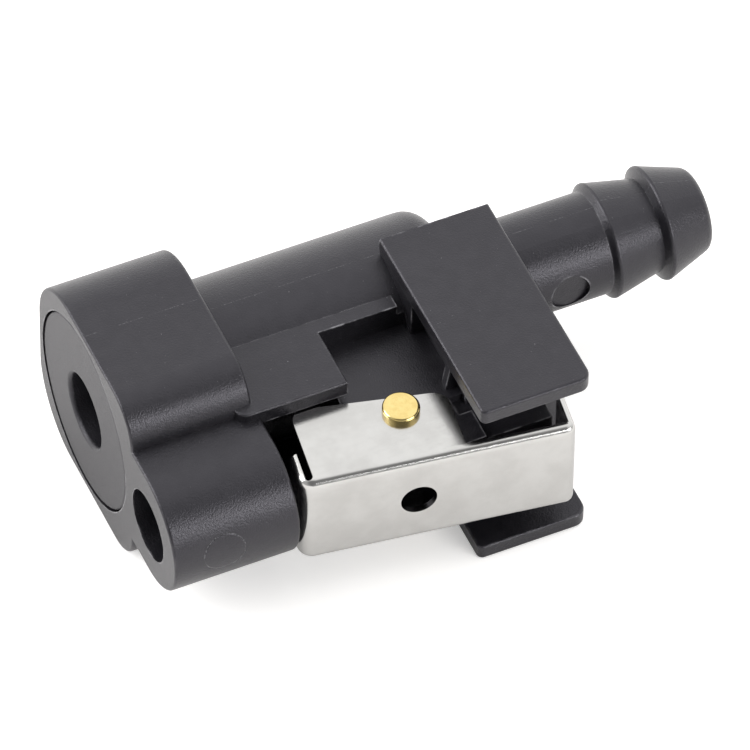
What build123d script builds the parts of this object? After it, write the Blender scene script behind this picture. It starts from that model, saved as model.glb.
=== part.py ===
# Quick-connect fuel hose coupling, socket half, with a sprung steel latch and a double-barbed hose tail.
# Millimetres. +X runs from the port face to the tip of the tail, the latch is on the -Y side, +Z is up.
# Pieces are drawn about the axis of the main port, then set down together on the plane Z = 0.
import math
import os

from build123d import *

# ---- head: a rounded square block with the guide-pin boss on its latch side
rest_half = 10.05           # half height of the head and of the pair of guards: what the coupling lies on
head_length = 11.55
head_far = 10.2             # from the axis to the side away from the latch
head_near = 10.8            # from the axis to the side towards the latch
head_far_corner = 7.0
head_near_corner = 4.0
boss_offset = 14.35         # guide-pin axis, measured from the port axis
boss_radius = 6.05
boss_length = 12.0
guide_radius = 3.4          # bore for the guide pin of the mating half
face_edge = 0.25            # rounding round the front faces
back_edge = 0.35

# ---- port and valve
port_radius = 3.5
port_entry = 0.4            # rounding of the port's mouth
retainer_radius = 9.3
retainer_recess = 0.06      # the retainer is all but flush with the front face
retainer_thickness = 2.94
fit_gap = 0.06              # radial clearance of pieces that are pressed or welded in place
run_gap = 0.08              # radial clearance of pieces that slide or turn
seal_gap = 0.06             # end gap left beside the rubber rings
seat_shoulder = 0.95        # how far the retainer's hub and the valve seat reach past the chamber
port_seal_section = 0.98
port_seal_squeeze = 0.2     # how far the port seal stands in from the port's wall
seat_thickness = 1.9
seat_bore = 3.7
valve_gap = 0.05            # closed valve: rubber to seat
chamber_end = 28.5          # where the chamber steps down to the bore of the tail
poppet_side_gap = 0.8       # the flange's clearance in the chamber, for the fuel to pass
poppet_flange = 1.4
poppet_seal_outer = 4.55
poppet_seal_thickness = 0.95
poppet_collar = 3.0
poppet_nose_recess = 3.05   # from the retainer's face to the end of the poppet's nose
poppet_rib_length = 4.1
poppet_rib_width = 1.4
poppet_tail_radius = 1.9
poppet_tail_length = 10.6
poppet_tail_round = 0.6
poppet_fin_width = 1.3
valve_spring_wire = 0.7
valve_spring_mean = 3.7     # mean coil radius
valve_spring_coils = 7

# ---- barrel, shelves and hose tail
barrel_radius = 8.12
barrel_wall = 2.22
barrel_end = 35.0
barrel_end_round = 2.2
shelf_top = 7.05
shelf_thickness = 1.6
shelf_front = 9.8
shelf_width = 11.75         # from the axis to the broad part's edge
shelf_corner = 1.2
shelf_edge = 0.2            # rounding of the broad part's free edges
window_x = 20.3             # the broad part ends here and a narrow ledge goes on
ledge_width = 5.45
ledge_end = 27.85
collar_radius = 5.4         # thick foot of the stem, between the barrel and the end of the guards
stem_radius = 4.8
stem_bore = 3.1
barb_radius = 5.45
barb_root = 4.4
first_barb = 50.0
barb_pitch = 5.2
barb_back = 0.5             # length of the steep back of a barb
tip_length = 4.7            # last crest to the end of the tail
tip_radius = 3.8
tip_round = 1.0
crest_round = 0.28
dimple_x = 45.25
dimple_radius = 1.87
dimple_depth = 0.45
seam_turn = 22.5            # keeps the seam of the turned surfaces clear of the dimple

# ---- guards: two finger plates joined by a bulkhead behind the barrel
guard_x = 28.5
guard_width = 10.65         # along X
guard_reach = 22.1          # from the axis plane towards the latch side
guard_thickness = 1.6
guard_front_corner = 0.6
guard_rear_corner = 1.2
guard_edge = 0.3            # rounding along the outer edges
guard_inner_edge = 0.15
bulkhead_setback = 1.4
bulkhead_rise = 0.3         # the bulkhead's near face beyond the latch's pivot
root_setback = 0.1          # the thick root of the guards starts this far behind their edge
root_reach = 6.85
tower_half = 3.6            # half height of the block that holds the latch spring
tower_gap = 0.35            # left to the pressed latch's face plate and rear wall
gusset_foot = 28.75
gusset_head = 29.4          # the gusset's sloping edge leans back to here at the guard
gusset_near = 0.4           # gusset faces, measured from the pivot towards the port axis
gusset_far = 1.3

# ---- pivot, lug and latch
pivot_x = 23.85
pivot_rise = 0.85           # pivot beyond the guide pin's axis
pin_radius = 1.25
pin_head_radius = 1.7
pin_head_height = 0.72
pin_head_round = 0.3
press_gap = 0.02            # pin in the latch's holes
latch_angle = 8.1           # how far the latch's rear end stands out at rest
latch_travel = 9.6          # degrees from rest to fully pressed
sheet = 0.6
bend = 0.85                 # outer bend radius of the flanges
front_bend = 1.4
rear_bend = 0.9
latch_half = 5.25           # half height over the two flanges
latch_front = 10.8          # pivot to the outside of the hook wall
latch_rear = 14.45          # pivot to the outside of the rear wall
latch_face = 6.0            # pivot to the outside of the face plate
hook_reach = 3.7            # depth of the hook wall from the face plate's outside
rear_reach = 4.6
relief_width = 0.7          # slot between the flange and the hook wall
relief_end = 0.55           # what the slot leaves of the face plate's outside
flange_far_front = 2.6      # flange edge beyond the pivot, at its front corner
flange_far_rear = 1.1       # the same at the rear, where the edge has sloped back
flange_rear = 4.45
flange_front_corner = 1.3
flange_rear_corner = 1.5
rim_width = 0.85
face_hole_radius = 1.65
lug_gap = 0.25              # lug to flange, each side
lug_front = 20.6
lug_nose_front = 4.3        # lug nose, along the latch, ahead of the pivot
lug_nose_rear = 6.65        # and behind it
stop_gap = 0.12
nose_pocket_radius = 2.1
side_pocket_far = 0.3       # cored-out flank behind the pivot, from the pivot towards the port axis
side_pocket_near = 1.8      # and towards the face plate
side_pocket_front = 28.6
side_pocket_depth = 1.2

# ---- latch spring
spring_arm = 11.0           # pivot to the spring's axis, along the latch
latch_spring_wire = 0.5
latch_spring_mean = 2.1
latch_spring_coils = 7
spring_seat = 10.0          # from the port axis to the floor of the spring's bore
spring_end_gap = 0.25

# ---- values that follow from the ones above
chamber_radius = barrel_radius - barrel_wall
hub_radius = chamber_radius + seat_shoulder
poppet_radius = chamber_radius - poppet_side_gap
port_seal_bore = port_radius - port_seal_squeeze
recess_floor = retainer_recess + retainer_thickness
hub_depth = 2 * port_seal_section + 2 * seal_gap
hub_end = recess_floor + hub_depth
seat_back = hub_end + seat_thickness
poppet_seal_start = seat_back + valve_gap
poppet_face = poppet_seal_start + poppet_seal_thickness
poppet_rib_end = poppet_face + poppet_flange + poppet_rib_length
pivot_offset = boss_offset + pivot_rise
bulkhead_x = guard_x + bulkhead_setback
bulkhead_reach = pivot_offset + bulkhead_rise
guard_inner = rest_half - guard_thickness
guard_end = guard_x + guard_width
tip_x = first_barb + barb_pitch + tip_length
lug_half = latch_half - sheet - lug_gap
latch_turn = math.radians(latch_angle)
pressed_turn = math.radians(latch_travel - latch_angle)
pressed_drop = (latch_rear - sheet) * math.tan(pressed_turn)
tower_reach = pivot_offset + latch_face - sheet - pressed_drop - tower_gap
tower_end = pivot_x + (latch_rear - sheet) * math.cos(latch_turn) - latch_face * math.sin(latch_turn) - tower_gap


def along_x(outline, start, end):
    """Extrude an outline drawn in (Y, Z) from one station on X to another."""
    return extrude(Plane.YZ.offset(start) * outline, end - start)


def along_z(outline, low, high):
    return extrude(Plane.XY.offset(low) * outline, high - low)


def tube(start, end, radius):
    return along_x(Circle(radius), start, end)


def box_between(x, y, z):
    size = Box(x[1] - x[0], y[1] - y[0], z[1] - z[0])
    return Pos((x[0] + x[1]) / 2, (y[0] + y[1]) / 2, (z[0] + z[1]) / 2) * size


def mirrored(solid):
    """The solid together with its reflection in the mid plane Z = 0."""
    return solid + mirror(solid, about=Plane.XY)


def helix_spring(mean_radius, wire, length, coils):
    """A coil spring standing on Z = 0, its wire kept inside the given length."""
    rise = length - wire
    path = Helix(pitch=rise / coils, height=rise, radius=mean_radius)
    start = path @ 0
    section = Plane(origin=start, z_dir=path % 0) * Circle(wire / 2)
    return Pos(0, 0, wire / 2) * sweep(section, path=path)


def latch_to_body(x, n):
    """A point of the latch at rest, given along (x) and out from (n) the pivot, as body X and Y."""
    across = x * math.cos(latch_turn) - n * math.sin(latch_turn)
    out = x * math.sin(latch_turn) + n * math.cos(latch_turn)
    return pivot_x + across, -(pivot_offset + out)


def make_head():
    outline = Pos((head_far - head_near) / 2, 0) * Rectangle(head_far + head_near, 2 * rest_half)
    outline = fillet(outline.vertices().group_by(Axis.X)[0], head_near_corner)
    outline = fillet(outline.vertices().group_by(Axis.X)[-1], head_far_corner)
    head = along_x(outline, 0, head_length)
    head = fillet(head.faces().sort_by(Axis.X)[-1].edges(), back_edge)
    boss_outline = Pos(-boss_offset, 0) * Circle(boss_radius)
    boss_outline += Pos(-boss_offset / 2, 0) * Rectangle(boss_offset, 2 * boss_radius)
    boss = along_x(boss_outline, 0, boss_length)
    boss = fillet(boss.faces().sort_by(Axis.X)[-1].edges(), back_edge)
    block = head + boss
    front = block.faces().sort_by(Axis.X)[0]
    return fillet(front.outer_wire().edges(), face_edge)


def make_tail():
    """Barrel, stem and barbs: one profile turned about the port axis."""
    second_barb = first_barb + barb_pitch
    with BuildSketch(Plane.XZ) as profile:
        with BuildLine():
            Polyline(
                (head_length - 1, 0),
                (head_length - 1, barrel_radius),
                (barrel_end, barrel_radius),
                (barrel_end, collar_radius),
                (guard_end, collar_radius),
                (guard_end, stem_radius),
                (first_barb - barb_back, stem_radius),
                (first_barb, barb_radius),
                (second_barb - barb_back, barb_root),
                (second_barb, barb_radius),
                (tip_x, tip_radius),
                (tip_x, 0),
                close=True,
            )
        make_face()
        crests = profile.vertices().filter_by(lambda v: abs(v.Y - barb_radius) < 0.01)
        fillet(crests, crest_round)
        barrel_rim = profile.vertices().filter_by(
            lambda v: abs(v.X - barrel_end) < 0.01 and abs(v.Y - barrel_radius) < 0.01)
        fillet(barrel_rim, barrel_end_round)
        tip_rim = profile.vertices().filter_by(lambda v: abs(v.X - tip_x) < 0.01 and v.Y > 0.01)
        fillet(tip_rim, tip_round)
    return Rot(seam_turn, 0, 0) * revolve(profile.sketch, axis=Axis.X)


def make_shelf():
    broad = box_between((shelf_front, window_x), (-shelf_width, 0), (shelf_top - shelf_thickness, shelf_top))
    near_front = broad.edges().filter_by(Axis.Z).sort_by(Axis.Y)[:2].sort_by(Axis.X)[0]
    broad = fillet(near_front, shelf_corner)
    free_edges = broad.faces().sort_by(Axis.Z)[-1].edges().filter_by(lambda e: e.center().Y < -shelf_corner)
    broad = fillet(free_edges.filter_by(lambda e: e.center().X > shelf_front + 0.01), shelf_edge)
    ledge = box_between((window_x - 1, ledge_end), (-ledge_width, 0), (shelf_top - shelf_thickness, shelf_top))
    return mirrored(broad + ledge)


def make_window():
    """The space over the lug: its back wall is flush with the ledge, so it also trims the barrel."""
    return mirrored(box_between((window_x, guard_x), (-2 * shelf_width, -ledge_width), (lug_half, rest_half)))


def make_guards():
    plate = box_between((guard_x, guard_end), (-guard_reach, 0), (guard_inner, rest_half))
    plate = fillet(plate.edges().filter_by(Axis.Z).group_by(Axis.Y)[0].sort_by(Axis.X)[0], guard_front_corner)
    plate = fillet(plate.edges().filter_by(Axis.Z).group_by(Axis.Y)[0].sort_by(Axis.X)[-1], guard_rear_corner)
    outside = plate.faces().sort_by(Axis.Z)[-1].edges()
    plate = fillet(outside.filter_by(lambda e: e.center().Y < -0.01), guard_edge)
    inside = plate.faces().sort_by(Axis.Z)[0].edges()
    plate = fillet(inside.filter_by(lambda e: e.center().Y < -0.01), guard_inner_edge)
    bulkhead = box_between((bulkhead_x, guard_end), (-bulkhead_reach, 0), (-guard_inner, guard_inner))
    tower = box_between((bulkhead_x - 1, tower_end), (-tower_reach, 0), (-tower_half, tower_half))
    root = box_between((guard_x + root_setback, guard_end), (-root_reach, 0), (-guard_inner, guard_inner))
    side = make_face(Plane.XZ * Polyline(
        (gusset_foot, 0), (gusset_foot, lug_half), (gusset_head, guard_inner),
        (bulkhead_x, guard_inner), (bulkhead_x, 0), close=True))
    gusset = Pos(0, gusset_far - pivot_offset, 0) * extrude(side, gusset_far - gusset_near)
    return mirrored(plate + gusset) + bulkhead + root + tower


def make_lug():
    """The block between the latch's flanges that carries the pivot and stops the latch both ways."""
    rest_line = latch_face - sheet - stop_gap
    back_off = lug_nose_rear * math.tan(math.radians(latch_travel))
    nose = [
        latch_to_body(-lug_nose_front, rest_line),
        latch_to_body(0, rest_line),
        latch_to_body(lug_nose_rear, rest_line - back_off),
    ]
    outline = make_face(Polyline(
        (lug_front, 0), nose[0], nose[1], nose[2], (bulkhead_x, -bulkhead_reach), (bulkhead_x, 0), close=True))
    pocket_x, pocket_y = latch_to_body(0, rest_line)
    outline -= Pos(pocket_x, pocket_y) * Circle(nose_pocket_radius)
    side_pocket = box_between(
        (side_pocket_front, bulkhead_x),
        (-pivot_offset - side_pocket_near, -pivot_offset + side_pocket_far),
        (lug_half - side_pocket_depth, lug_half))
    return along_z(outline, -lug_half, lug_half) - mirrored(side_pocket)


def spring_axis():
    """X of the latch spring, and Y of the latch's inner face there."""
    return latch_to_body(spring_arm, latch_face - sheet)


def make_body():
    spring_x, _ = spring_axis()
    body = make_head() + make_tail() + make_shelf() + make_lug() - make_window() + make_guards()
    body -= tube(-1, recess_floor, retainer_radius + fit_gap)
    body -= tube(recess_floor, seat_back, hub_radius + fit_gap)
    body -= tube(seat_back, chamber_end, chamber_radius)
    body -= tube(chamber_end, tip_x + 1, stem_bore)
    body -= Pos(0, -boss_offset, 0) * tube(-1, boss_length + 1, guide_radius)
    body -= Pos(pivot_x, -pivot_offset, 0) * Cylinder(pin_radius + run_gap, 4 * latch_half)
    bore_depth = tower_reach - spring_seat
    seat_hole = Cylinder(latch_spring_mean + latch_spring_wire, 2 * bore_depth)
    body -= Pos(spring_x, -tower_reach, 0) * Rot(90, 0, 0) * seat_hole
    spot = Cylinder(dimple_radius, 2 * (stem_radius - dimple_depth))
    floor_y = -(stem_radius - dimple_depth)
    spot = Pos(dimple_x, floor_y - (stem_radius - dimple_depth), 0) * Rot(90, 0, 0) * spot
    return body - spot


def make_port_retainer():
    disc = tube(retainer_recess, recess_floor, retainer_radius)
    disc = fillet(disc.edges().sort_by(Axis.X)[0], back_edge)
    hub = tube(recess_floor, hub_end, hub_radius)
    retainer = disc + hub - tube(0, hub_end, port_radius)
    mouth = retainer.edges().filter_by(GeomType.CIRCLE).filter_by(
        lambda e: abs(e.radius - port_radius) < 0.01).sort_by(Axis.X)[0]
    retainer = fillet(mouth, port_entry)
    seal_outer = port_seal_bore + 2 * port_seal_section
    return retainer - tube(recess_floor, hub_end, seal_outer + fit_gap)


def make_ring(bore, section, x):
    """A round-section rubber ring lying across the port axis."""
    return Pos(x, 0, 0) * Rot(0, 90, 0) * Torus(bore + section, section)


def make_valve_seat():
    return tube(hub_end, seat_back, hub_radius) - tube(hub_end, seat_back, seat_bore)


def make_poppet():
    flange_end = poppet_face + poppet_flange
    nose_start = retainer_recess + poppet_nose_recess
    poppet = tube(poppet_face, flange_end, poppet_radius)
    poppet += tube(poppet_seal_start, poppet_face, poppet_collar)
    fins = Rectangle(2 * poppet_collar, poppet_fin_width) + Rectangle(poppet_fin_width, 2 * poppet_collar)
    poppet += along_x(fins & Circle(poppet_collar), nose_start, poppet_seal_start)
    guide = chamber_radius - run_gap
    ribs = Rectangle(2 * guide + 1, poppet_rib_width) + Rectangle(poppet_rib_width, 2 * guide + 1)
    poppet += along_x(ribs & Circle(guide), flange_end, poppet_rib_end)
    tail_end = poppet_rib_end + poppet_tail_length - poppet_rib_length
    tail = tube(flange_end, tail_end, poppet_tail_radius)
    return poppet + fillet(tail.edges().sort_by(Axis.X)[-1], poppet_tail_round)


def make_poppet_seal():
    ring = tube(poppet_seal_start, poppet_face, poppet_seal_outer)
    return ring - tube(poppet_seal_start, poppet_face, poppet_collar)


def make_valve_spring():
    spring = helix_spring(
        valve_spring_mean, valve_spring_wire, chamber_end - poppet_rib_end, valve_spring_coils)
    return Pos(poppet_rib_end, 0, 0) * Rot(0, 90, 0) * spring


def place_latch(solid):
    return Pos(pivot_x, -pivot_offset, 0) * Rot(0, 0, -latch_angle) * solid


def latch_block(inset, deep):
    """The latch's outside, or its inside when set in by the sheet; open on the deep side, its bends rounded."""
    front = -latch_front + inset
    rear = latch_rear - inset
    face = -latch_face + inset
    half = latch_half - inset
    outline = make_face(Polyline((front, deep), (front, face), (rear, face), (rear, deep), close=True))
    outline = fillet(outline.vertices().group_by(Axis.Y)[0].sort_by(Axis.X)[0], front_bend - inset)
    outline = fillet(outline.vertices().group_by(Axis.Y)[0].sort_by(Axis.X)[-1], rear_bend - inset)
    block = along_z(outline, -half, half)
    rims = block.edges().filter_by(lambda e: abs(abs(e.center().Z) - half) < 0.01 and e.center().Y < deep - 0.01)
    return fillet(rims, bend - inset)


def make_latch():
    """One piece of folded sheet, drawn with the pivot at its origin and its face plate towards -Y."""
    deep = flange_far_front + 1
    shell = latch_block(0, deep) - latch_block(sheet, deep + 1)
    tall = (-latch_half - 1, latch_half + 1)
    flange_front = -latch_front + sheet + relief_width
    slot = make_face(Polyline(
        (flange_front - relief_width, deep + 1),
        (flange_front - relief_width, relief_end - latch_face),
        (flange_front, relief_end - latch_face),
        (flange_front, deep + 1),
        close=True))
    slot = fillet(slot.vertices().group_by(Axis.Y)[0], relief_width / 2 - 0.01)
    relief = mirrored(along_z(slot, latch_half - bend, tall[1]))
    hook_cut = box_between((-latch_front - 1, flange_front), (hook_reach - latch_face, deep + 1), tall)
    rear_cut = box_between((latch_rear - sheet, latch_rear + 1), (rear_reach - latch_face, deep + 1), tall)
    edge = make_face(Polyline(
        (flange_front - 2, deep + 1),
        (flange_front - 2, flange_far_front),
        (flange_front, flange_far_front),
        (flange_rear, flange_far_rear),
        (flange_rear, rim_width - latch_face),
        (latch_rear - sheet, rim_width - latch_face),
        (latch_rear - sheet, deep + 1),
        close=True))
    shell -= relief + hook_cut + rear_cut + along_z(edge, tall[0], tall[1])
    for x, radius in ((flange_front, flange_front_corner), (flange_rear, flange_rear_corner)):
        corners = shell.edges().filter_by(Axis.Z).filter_by(
            lambda e: abs(e.center().X - x) < 0.01 and e.center().Y > 0 and e.length < 2 * sheet)
        shell = fillet(corners, radius)
    pin_hole = Cylinder(pin_radius + press_gap, 4 * latch_half)
    face_hole = Pos(0, -latch_face, 0) * Rot(90, 0, 0) * Cylinder(face_hole_radius, 4 * sheet)
    return place_latch(shell - pin_hole - face_hole)


def make_pivot_pin():
    shaft = Cylinder(pin_radius, 2 * latch_half)
    head = Cylinder(pin_head_radius, pin_head_height)
    head = fillet(head.edges().sort_by(Axis.Z)[-1], pin_head_round)
    return place_latch(shaft + mirrored(Pos(0, 0, latch_half + pin_head_height / 2) * head))


def make_latch_spring():
    spring_x, inner_y = spring_axis()
    length = -spring_seat - inner_y - spring_end_gap
    spring = helix_spring(latch_spring_mean, latch_spring_wire, length, latch_spring_coils)
    return Pos(spring_x, -spring_seat, 0) * Rot(90, 0, 0) * spring


pieces = {
    "body": make_body(),
    "port_retainer": make_port_retainer(),
    "port_seal": make_ring(port_seal_bore, port_seal_section, recess_floor + hub_depth / 2),
    "valve_seat": make_valve_seat(),
    "poppet": make_poppet(),
    "poppet_seal": make_poppet_seal(),
    "valve_spring": make_valve_spring(),
    "latch": make_latch(),
    "pivot_pin": make_pivot_pin(),
    "latch_spring": make_latch_spring(),
}

# The origin is below the middle of the whole coupling, on the plane that it lies on.
bounds = pieces["body"].bounding_box()
for piece in pieces.values():
    bounds = bounds.add(piece.bounding_box())
base = Pos(-bounds.center().X, -bounds.center().Y, -bounds.min.Z)

os.makedirs("parts", exist_ok=True)
for name, piece in pieces.items():
    export_step(base * piece, f"parts/{name}.step")
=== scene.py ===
import math

import bpy
from mathutils import Matrix, Vector


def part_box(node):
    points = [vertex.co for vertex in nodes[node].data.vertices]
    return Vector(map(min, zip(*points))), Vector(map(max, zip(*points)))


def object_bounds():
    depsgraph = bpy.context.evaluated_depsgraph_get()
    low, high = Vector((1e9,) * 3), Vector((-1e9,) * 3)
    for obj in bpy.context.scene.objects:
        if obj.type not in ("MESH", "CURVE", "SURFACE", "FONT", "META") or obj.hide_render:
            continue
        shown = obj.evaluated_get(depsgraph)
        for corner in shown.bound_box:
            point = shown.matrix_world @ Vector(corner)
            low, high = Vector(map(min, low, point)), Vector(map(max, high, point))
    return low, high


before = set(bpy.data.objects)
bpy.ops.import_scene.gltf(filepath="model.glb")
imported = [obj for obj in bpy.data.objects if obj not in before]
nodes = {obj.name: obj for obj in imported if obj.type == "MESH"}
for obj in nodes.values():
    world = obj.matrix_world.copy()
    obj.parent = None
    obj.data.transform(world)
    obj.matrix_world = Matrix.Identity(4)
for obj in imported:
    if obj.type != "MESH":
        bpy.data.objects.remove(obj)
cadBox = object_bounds()
mm = 0.001

# places on the coupling that the looks hang on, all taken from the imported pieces
retainerLow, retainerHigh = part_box("port_retainer")
pinLow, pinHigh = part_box("pivot_pin")
bodyLow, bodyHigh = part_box("body")
portAxis = Vector((0, (retainerLow.y + retainerHigh.y) / 2, (retainerLow.z + retainerHigh.z) / 2))
pivot = (pinLow + pinHigh) / 2
faceX = bodyLow.x
print("frame loaded:", len(nodes), "nodes, port axis at y", round(portAxis.y / mm, 3), "mm")


# ---- shader sums written as plain expressions

class Wire:
    def __init__(self, graph, socket):
        self.graph = graph
        self.socket = socket

    def sum(self, operation, *others):
        return self.graph.add("ShaderNodeMath", {"operation": operation}, *([self] + list(others)))

    def __add__(self, other):
        return self.sum("ADD", other)

    __radd__ = __add__

    def __mul__(self, other):
        return self.sum("MULTIPLY", other)

    __rmul__ = __mul__

    def __sub__(self, other):
        return self.sum("SUBTRACT", other)

    def __rsub__(self, other):
        return self.graph.add("ShaderNodeMath", {"operation": "SUBTRACT"}, other, self)

    def __truediv__(self, other):
        return self.sum("DIVIDE", other)

    def __rtruediv__(self, other):
        return self.graph.add("ShaderNodeMath", {"operation": "DIVIDE"}, other, self)

    def __pow__(self, other):
        return self.sum("POWER", other)

    def __abs__(self):
        return self.sum("ABSOLUTE")

    def above(self, level):
        return self.sum("GREATER_THAN", level)

    def most(self, other):
        return self.sum("MAXIMUM", other)

    def sine(self):
        return self.sum("SINE")

    def fade(self, start, end):  # 0 before start, 1 after end, smooth between
        limits = {"From Min": start, "From Max": end}
        return self.graph.add("ShaderNodeMapRange", {"interpolation_type": "SMOOTHSTEP"}, self, **limits)


class Graph:
    def __init__(self, owner, shaderName="Principled BSDF"):  # owner is a material or the world
        owner.use_nodes = True
        self.tree = owner.node_tree
        self.shader = self.tree.nodes[shaderName]

    def put(self, value, socket):
        if isinstance(value, Wire):
            self.tree.links.new(value.socket, socket)
        else:
            socket.default_value = value

    def add(self, kind, settings, *values, output=0, **named):
        node = self.tree.nodes.new(kind)
        for name, setting in settings.items():
            setattr(node, name, setting)
        for number, value in enumerate(values):
            self.put(value, node.inputs[number])
        for name, value in named.items():
            self.put(value, node.inputs[name])
        return Wire(self, node.outputs[output])

    def place(self):  # the point of the surface in the row frame, in metres
        return self.add("ShaderNodeTexCoord", {}, output="Object")

    def parts(self, vector):
        return [self.add("ShaderNodeSeparateXYZ", {}, vector, output=axis) for axis in ("X", "Y", "Z")]

    def vector(self, operation, *values, output=0):
        return self.add("ShaderNodeVectorMath", {"operation": operation}, *values, output=output)

    def mixed(self, factor, first, second):
        node = self.tree.nodes.new("ShaderNodeMix")
        node.data_type = "RGBA"
        for value, number in ((factor, 0), (first, 6), (second, 7)):
            value = (*value, 1) if isinstance(value, tuple) and len(value) == 3 else value
            self.put(value, node.inputs[number])
        return Wire(self, node.outputs[2])

    def noise(self, place, size, detail=2, roughness=0.5):  # size is the blob size in metres
        return self.add("ShaderNodeTexNoise", {}, Vector=place, Scale=1 / size, Detail=detail, Roughness=roughness)

    def facing(self):
        return self.add("ShaderNodeNewGeometry", {}, output="Normal")

    def edges(self, wearAndHighlight):  # 1 along outer edges, 0 on the open faces and in the corners
        rounded = self.add("ShaderNodeBevel", {"samples": wearAndHighlight["samples"]}, Radius=wearAndHighlight["reach"])
        agreement = self.vector("DOT_PRODUCT", self.facing(), rounded, output="Value")
        openness = self.add(
            "ShaderNodeAmbientOcclusion", {"samples": wearAndHighlight["samples"]}, Distance=2 * wearAndHighlight["reach"], output="AO")
        return (1 - agreement.fade(*wearAndHighlight["turn"])) * openness.fade(*wearAndHighlight["open"])

    def bump(self, height, strength, distance, normal=None):
        named = {"Height": height, "Strength": strength, "Distance": distance}
        if normal:
            named["Normal"] = normal
        return self.add("ShaderNodeBump", {}, **named)

    def finish(self, **sockets):
        for name, value in sockets.items():
            name = name.replace("_", " ")
            value = (*value, 1) if isinstance(value, tuple) and len(value) == 3 else value
            self.put(value, self.shader.inputs[name])


def paint(material, *names):
    for name in names:
        slots = nodes[name].data.materials
        slots.clear()
        slots.append(material)


def newMaterial(name):
    material = bpy.data.materials.new(name)
    return material, Graph(material)


# ---- moulded body

bodyPlastic = {
    "colour": (0.0092, 0.0088, 0.0108),
    "paler": (0.0124, 0.0119, 0.0142),
    "tint": (0.94, 0.915, 1.0),
    "roughness": 0.31,
    "roughnessSpread": 0.12,
    "mottleSize": 1.3 * mm,
    "mottleRange": (0.35, 0.7),
    "mottleRoughness": 0.06,
    "grainSize": 0.17 * mm,
    "grainDepth": 0.040 * mm,
    "waveSize": 3.5 * mm,
    "waveDepth": 0.012 * mm,
    "seamHalf": 0.05 * mm,       # parting line in the mid plane
    "seamHeight": 0.010 * mm,
    "seamPatch": 2.2 * mm,       # it shows only in stretches about this long
    "seamShown": (0.38, 0.58),
    "seamFlats": (0.6, 0.9),     # fades out where the face turns sideways
    "seamPale": 0.6,
    "seamGrain": (0.46, 0.58),
    "ejectorRadius": 1.96 * mm,  # witness mark on the side of the boss
    "ejectorFrom": (4.77 * mm, 0.6 * mm),  # behind the front face, above the port's axis
    "ejectorGroove": 0.11 * mm,
    "ejectorDepth": 0.05 * mm,
    "ejectorSide": 3 * mm,       # only this close to the boss's outer side
    "ejectorPale": 0.8,
    "ejectorGrain": (0.5, 0.6),
    "speckSize": 0.22 * mm,      # pale nicks and dust
    "speckColour": (0.16, 0.16, 0.17),
    "speckShare": 0.74,
    "speckSoftness": 0.03,
    # how far the paler edges spread (partly rubbed wear, partly a painted highlight along the edges), how much
    # they must turn, how open they must be
    "wearAndHighlight": {"samples": 6, "reach": 0.30 * mm, "turn": (0.88, 0.997), "open": (0.72, 0.95)},
    "wearAndHighlightColour": (0.24, 0.236, 0.25),
    "wearAndHighlightPatch": 1.1 * mm,
    "wearAndHighlightRange": (0.36, 0.66),
    "wearPolish": 0.08,
}


def mouldedPlastic(name, look, isBody):
    material, graph = newMaterial(name)
    place = graph.place()
    x, y, z = graph.parts(place)
    grain = graph.noise(place, look["grainSize"], detail=3, roughness=0.6)
    waves = graph.noise(place, look["waveSize"], detail=1)
    mottle = graph.noise(place, look["mottleSize"], detail=3)
    specks = graph.noise(place, look["speckSize"], detail=2, roughness=0.7)
    specks = specks.fade(look["speckShare"], look["speckShare"] + look["speckSoftness"])
    normal = graph.bump(grain, 1, look["grainDepth"])
    normal = graph.bump(waves, 1, look["waveDepth"], normal)
    if isBody:
        along = graph.vector("MULTIPLY", place, (1, 0, 0))
        patches = graph.noise(along, look["seamPatch"], detail=2).fade(*look["seamShown"])
        sideways = abs(graph.parts(graph.facing())[1]).fade(*look["seamFlats"])
        seam = (1 - abs(y - portAxis.y).fade(0, look["seamHalf"])) * patches * (1 - sideways)
        behind, above = look["ejectorFrom"]
        fromMark = ((x - faceX - behind) ** 2 + (z - portAxis.z - above) ** 2) ** 0.5
        ring = 1 - abs(fromMark - look["ejectorRadius"]).fade(0, look["ejectorGroove"])
        ring = ring * (1 - y.above(bodyLow.y + look["ejectorSide"]))
        normal = graph.bump(seam, 1, look["seamHeight"], normal)
        normal = graph.bump(1 - ring, 1, look["ejectorDepth"], normal)
        specks = specks.most(look["seamPale"] * seam * grain.fade(*look["seamGrain"]))
        specks = specks.most(ring * grain.fade(*look["ejectorGrain"]) * look["ejectorPale"])
    colour = graph.mixed(mottle.fade(*look["mottleRange"]), look["colour"], look["paler"])
    colour = graph.mixed(specks, colour, look["speckColour"])
    # outer edges are painted paler: partly edge wear, partly a painted highlight standing in for light caught on
    # the rounded edges
    rubbedAndHighlit = graph.edges(look["wearAndHighlight"]) * graph.noise(place, look["wearAndHighlightPatch"], detail=3).fade(*look["wearAndHighlightRange"])
    colour = graph.mixed(rubbedAndHighlit, colour, look["wearAndHighlightColour"])
    rough = look["roughness"] + look["roughnessSpread"] * (grain - 0.5)
    rough = rough + look["mottleRoughness"] * (mottle - 0.5) - look["wearPolish"] * rubbedAndHighlit
    graph.finish(Base_Color=colour, Roughness=rough, Normal=normal, Specular_Tint=look["tint"])
    return material


paint(mouldedPlastic("mouldedBody", bodyPlastic, True), "body")
paint(mouldedPlastic("mouldedRetainer", dict(bodyPlastic, roughness=0.4), False), "port_retainer", "valve_seat")

poppetPlastic = dict(bodyPlastic, colour=(0.012, 0.012, 0.013), paler=(0.016, 0.016, 0.017), roughness=0.3)
paint(mouldedPlastic("mouldedPoppet", poppetPlastic, False), "poppet")
print("plastics done")


# ---- seals

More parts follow.
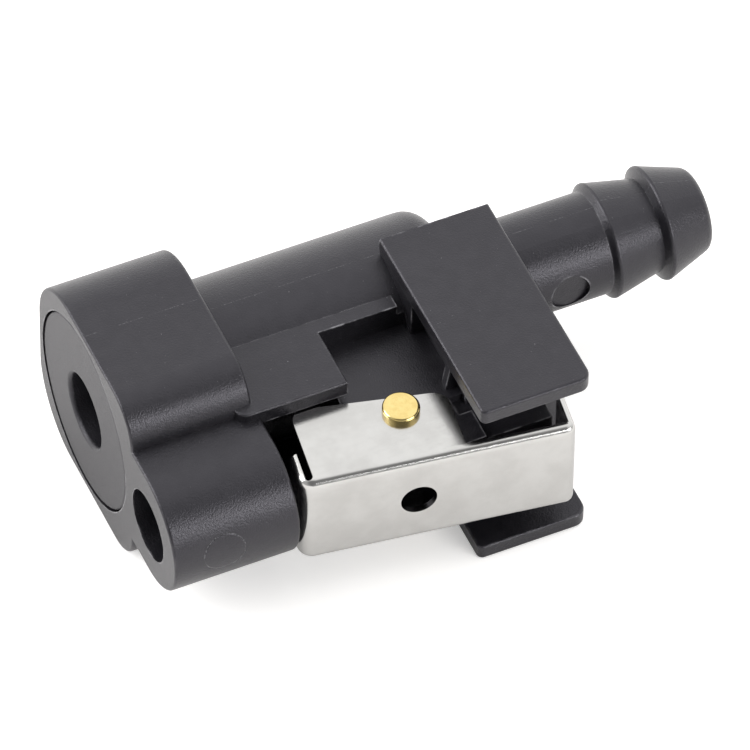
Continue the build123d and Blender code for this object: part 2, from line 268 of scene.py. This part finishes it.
sealRubber = {"colour": (0.008, 0.008, 0.008), "roughness": 0.55, "grainSize": 0.25 * mm, "grainDepth": 0.01 * mm}
material, graph = newMaterial("sealRubber")
grain = graph.noise(graph.place(), sealRubber["grainSize"], detail=3)
graph.finish(
    Base_Color=sealRubber["colour"],
    Roughness=sealRubber["roughness"] + 0.15 * (grain - 0.5),
    Normal=graph.bump(grain, 1, sealRubber["grainDepth"]))
paint(material, "port_seal", "poppet_seal")


# ---- folded latch, springs and pin

latchSteel = {
    "colour": (0.54, 0.535, 0.522),
    "duller": (0.45, 0.443, 0.43),
    "roughness": 0.17,
    "streakSize": 0.12 * mm,
    "streakStretch": (0.06, 1, 1),  # drawn out along the rolling direction
    "streakDepth": 0.0035 * mm,
    "streakColour": 0.3,
    "streakRoughness": 0.10,
    "cloudSize": 3 * mm,
    "cloudRange": (0.3, 0.7),
    "cloudColour": 0.6,
    "cloudRoughness": 0.08,
    "dentSize": 2.6 * mm,
    "dentDepth": 0.010 * mm,
}


def rolledSteel(name, look):
    material, graph = newMaterial(name)
    place = graph.place()
    stretched = graph.vector("MULTIPLY", place, look["streakStretch"])
    streaks = graph.noise(stretched, look["streakSize"], detail=4, roughness=0.65)
    clouds = graph.noise(place, look["cloudSize"], detail=4, roughness=0.6)
    dulling = look["cloudColour"] * clouds.fade(*look["cloudRange"]) + look["streakColour"] * streaks
    colour = graph.mixed(dulling, look["colour"], look["duller"])
    rough = look["roughness"] + look["streakRoughness"] * (streaks - 0.5) + look["cloudRoughness"] * (clouds - 0.5)
    normal = graph.bump(streaks, 1, look["streakDepth"])
    normal = graph.bump(graph.noise(place, look["dentSize"], detail=1), 1, look["dentDepth"], normal)
    graph.finish(Base_Color=colour, Metallic=1.0, Roughness=rough, Normal=normal)
    return material


paint(rolledSteel("latchSteel", latchSteel), "latch")
# the springs get a much darker copy of the latch steel as painted shade, so the latch spring stays dark in the
# hollow behind the latch
shadeDarkenedSpringSteel = dict(latchSteel, colour=(0.16, 0.16, 0.17), duller=(0.10, 0.10, 0.105), roughness=0.32)
paint(rolledSteel("shadeDarkenedSpringSteel", shadeDarkenedSpringSteel), "latch_spring", "valve_spring")

pinBrass = {
    "colour": (0.72, 0.57, 0.24),
    "duller": (0.64, 0.49, 0.19),
    "roughness": 0.15,
    "turningPitch": 0.09 * mm,
    "turningDepth": 0.0015 * mm,
    "cloudSize": 0.8 * mm,
    "cloudRange": (0.35, 0.7),
}
material, graph = newMaterial("turnedBrass")
place = graph.place()
x, y, z = graph.parts(graph.vector("SUBTRACT", place, tuple(pivot)))
rings = ((x * x + y * y) ** 0.5 * (2 * math.pi / pinBrass["turningPitch"])).sine()
cloud = graph.noise(place, pinBrass["cloudSize"], detail=3)
graph.finish(
    Base_Color=graph.mixed(cloud.fade(*pinBrass["cloudRange"]), pinBrass["colour"], pinBrass["duller"]),
    Metallic=1.0,
    Roughness=pinBrass["roughness"] + 0.08 * (cloud - 0.5),
    Normal=graph.bump(rings, 0.6, pinBrass["turningDepth"]))
paint(material, "pivot_pin")
print("metals done")


# ---- floor, light and camera

studio = {
    "floorColour": (0.94, 0.925, 0.91),
    "floorGlow": 0.36,       # added where the camera sees the floor
    "floorGlint": 0.10,      # and where a reflection does
    "floorSize": 3.0,
    "floorDrop": 0.02 * mm,
    "roomStrength": 0.62,
    "backStrength": 1.46,    # a big white wall and ceiling behind the object
    "backFrom": (0.30, 0.65, 0.69),
    "backEdge": (-0.1, 0.80),
    "darkStrength": 0.26,    # the unlit part of the room, in front above the object
    "darkFrom": (-0.22, -0.76, 0.61),
    "darkEdge": (0.72, 0.95),
    "lampDistance": 0.9,
    "lampAim": (0, 0, 0.01),
    "keyFrom": (0.42, -0.83, 0.375),
    "keySize": (0.60, 0.24),
    "keyStrength": 10.0,
    "sideFrom": (-0.78, 0.38, 0.46),
    "sideSize": (0.60, 0.60),
    "sideStrength": 5.5,
}

floorMesh = bpy.data.meshes.new("floor")
half = studio["floorSize"] / 2
corners = [(-half, -half, 0), (half, -half, 0), (half, half, 0), (-half, half, 0)]
floorMesh.from_pydata(corners, [], [(0, 1, 2, 3)])
floor = bpy.data.objects.new("floor", floorMesh)
floor.location.z = cadBox[0][2] - studio["floorDrop"]
bpy.context.scene.collection.objects.link(floor)
material, graph = newMaterial("paleFloor")
graph.finish(Base_Color=studio["floorColour"], Roughness=0.9)
bySight = graph.add("ShaderNodeLightPath", {}, output="Is Camera Ray") * studio["floorGlow"]
byGlint = graph.add("ShaderNodeLightPath", {}, output="Is Glossy Ray") * studio["floorGlint"]
glow = graph.add("ShaderNodeEmission", {}, Strength=bySight + byGlint)
both = graph.add("ShaderNodeAddShader", {}, Wire(graph, graph.shader.outputs[0]), glow)
graph.put(both, graph.tree.nodes["Material Output"].inputs["Surface"])
floorMesh.materials.append(material)

world = bpy.data.worlds.new("studio")
bpy.context.scene.world = world
room = Graph(world, "Background")
direction = room.add("ShaderNodeTexCoord", {}, output="Generated")


def towards(name):  # 0 to 1 across the edge of one part of the room
    middle = tuple(Vector(studio[name + "From"]).normalized())
    return room.vector("DOT_PRODUCT", direction, middle, output="Value").fade(*studio[name + "Edge"])


lit = studio["roomStrength"] + towards("back") * (studio["backStrength"] - studio["roomStrength"])
shade = towards("dark")
room.finish(Color=(1, 1, 1), Strength=lit * (1 - shade) + shade * studio["darkStrength"])


def softbox(name):
    size = studio[name + "Size"]
    aim = Vector(studio["lampAim"])
    light = bpy.data.lights.new(name + "Light", "AREA")
    light.shape = "RECTANGLE"
    light.size, light.size_y = size
    light.energy = studio[name + "Strength"] * math.pi * size[0] * size[1]  # an area light of this radiance
    lamp = bpy.data.objects.new(name + "Light", light)
    lamp.location = aim + Vector(studio[name + "From"]).normalized() * studio["lampDistance"]
    lamp.rotation_euler = (lamp.location - aim).to_track_quat("Z", "Y").to_euler()
    bpy.context.scene.collection.objects.link(lamp)


softbox("key")
softbox("side")

cameraLook = {
    "azimuth": -24.71,
    "elevation": 49.524,
    "roll": -0.821,
    "distance": 0.935,
    "lens": 505.6,
    "aimFrom": Vector((30, -8, 0)) * mm,  # past the port's mouth
    "across": 4.905 * mm,
    "upward": 0.356 * mm,
}
turn, tip, roll = (math.radians(cameraLook[name]) for name in ("azimuth", "elevation", "roll"))
right = Vector((math.cos(turn), math.sin(turn), 0))
up = Vector((-math.sin(turn) * math.sin(tip), math.cos(turn) * math.sin(tip), math.cos(tip)))
back = right.cross(up)
sideways = right * math.cos(roll) - up * math.sin(roll)
upwards = right * math.sin(roll) + up * math.cos(roll)
target = Vector((faceX, portAxis.y, portAxis.z)) + cameraLook["aimFrom"]
target = target - sideways * cameraLook["across"] - upwards * cameraLook["upward"]
camera = bpy.data.objects.new("camera", bpy.data.cameras.new("camera"))
camera.data.lens = cameraLook["lens"]
camera.data.sensor_width = 36
camera.data.clip_start = 0.01
camera.location = target + back * cameraLook["distance"]
camera.rotation_euler = Matrix([sideways, upwards, back]).transposed().to_euler()
bpy.context.scene.collection.objects.link(camera)
bpy.context.scene.camera = camera
bpy.context.scene.view_settings.view_transform = "Standard"
print("studio done")
